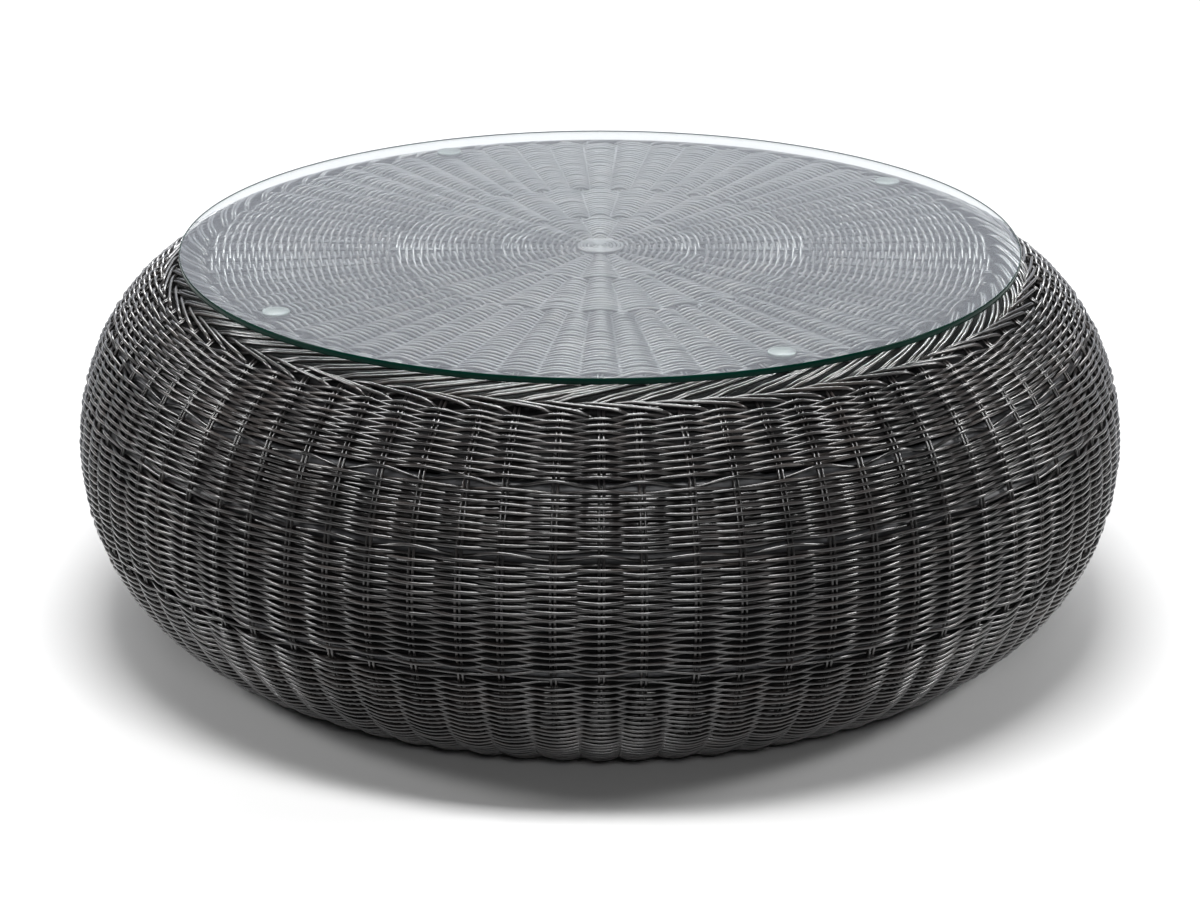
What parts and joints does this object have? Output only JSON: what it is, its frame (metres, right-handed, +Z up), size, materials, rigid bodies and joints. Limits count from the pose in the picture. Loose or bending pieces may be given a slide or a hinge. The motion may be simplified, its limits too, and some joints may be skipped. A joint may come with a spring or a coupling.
{
  "type": "wicker coffee table",
  "caption": "Round drum-shaped coffee table of woven synthetic rattan over an aluminium frame, with a loose clear glass disc lying on soft pads.",
  "frame": {"origin": "on the floor under the middle of the table", "axes": "+Z up along the table's axis; +Y away from the viewer's side, +X to the right"},
  "size_m": [0.9999, 1, 0.3651],
  "materials": {
    "glass": "clear, polished, with a ground green edge",
    "pad": "translucent, satin",
    "weave": "satin round polyethylene strand, woven",
    "frame": "dark grey powder coat",
    "glide": "fine moulded grain",
    "screw": "plain stainless"
  },
  "bodies": {
    "table": {"glass_pad_1": "pad", "glass_pad_2": "pad", "glass_pad_3": "pad", "glass_pad_4": "pad", "top_weave": "weave", "rim_border": "weave", "shoulder_weave": "weave", "upper_weave": "weave", "belly_weave": "weave", "lower_weave": "weave", "foot_weave": "weave", "base_border": "weave", "top_ring": "frame", "shoulder_ring": "frame", "upper_belly_ring": "frame", "lower_belly_ring": "frame", "base_ring": "frame", "hub": "frame", "top_bar_1": "frame", "top_bar_2": "frame", "top_bar_3": "frame", "top_bar_4": "frame", "top_bar_5": "frame", "top_bar_6": "frame", "top_bar_7": "frame", "top_bar_8": "frame", "rib_1": "frame", "rib_2": "frame", "rib_3": "frame", "rib_4": "frame", "rib_5": "frame", "rib_6": "frame", "rib_7": "frame", "rib_8": "frame", "glide_1": "glide", "glide_2": "glide", "glide_3": "glide", "glide_4": "glide", "glide_5": "glide", "glide_6": "glide", "glide_7": "glide", "glide_8": "glide", "glide_screws": "screw"},
    "glass": {"glass_top": "glass"}
  },
  "joints": [
    {"name": "glass_lift", "type": "slide", "parent": "table", "child": "glass", "axis": [0, 0, 1], "range_m": [0, 0.1]}
  ]
}
